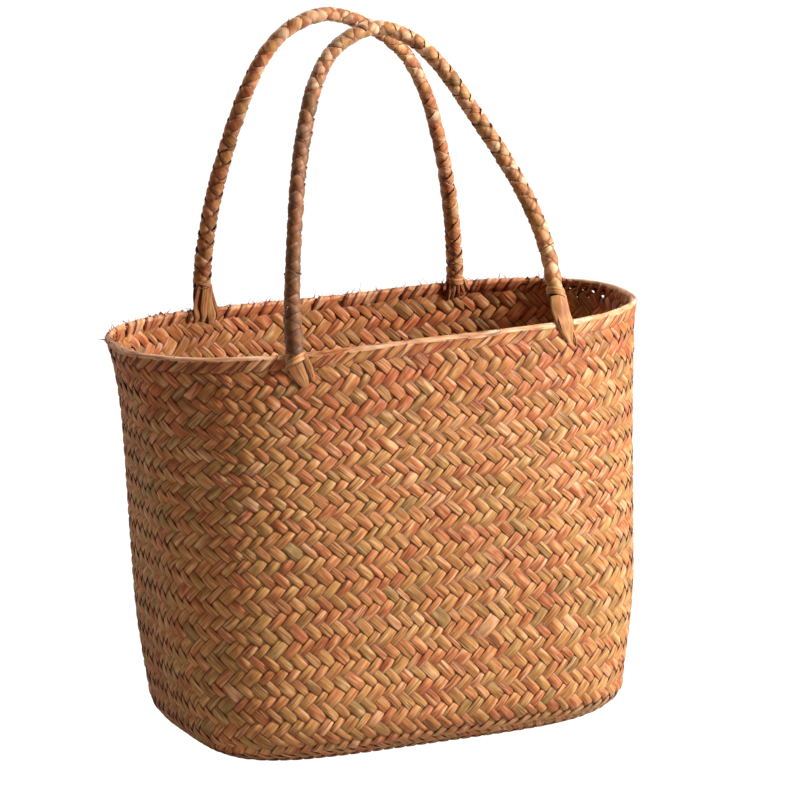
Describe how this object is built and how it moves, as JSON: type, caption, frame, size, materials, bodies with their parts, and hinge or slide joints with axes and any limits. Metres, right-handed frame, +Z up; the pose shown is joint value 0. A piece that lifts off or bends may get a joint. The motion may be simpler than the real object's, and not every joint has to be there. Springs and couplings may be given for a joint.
{
  "type": "straw basket bag",
  "caption": "Soft open basket bag woven from flat straw strips, oval mouth flared over a flat rounded base, with a folded rim and stiff wrapped arch handles.",
  "frame": {"origin": "the point on the floor under the middle of the bag", "axes": "+Z up, +X to the bag's right end along the mouth, -Y to the front, where the handle that leans further over the mouth stands"},
  "size_m": [0.3397, 0.179, 0.4428],
  "materials": {
    "woven_straw": "flat natural straw strips, golden brown with reddish and olive ones, satin, twill woven",
    "rim_straw": "straw strips folded slantwise over the edge, satin with frayed fibres",
    "wrapped_straw": "straw strips wrapped in overlapping turns, satin, dark at the overlaps"
  },
  "bodies": {
    "root": {"woven_body": "woven_straw", "rim_binding": "rim_straw", "front_handle": "wrapped_straw", "back_handle": "wrapped_straw", "front_left_foot": "wrapped_straw", "front_right_foot": "wrapped_straw", "back_left_foot": "wrapped_straw", "back_right_foot": "wrapped_straw"}
  },
  "joints": []
}
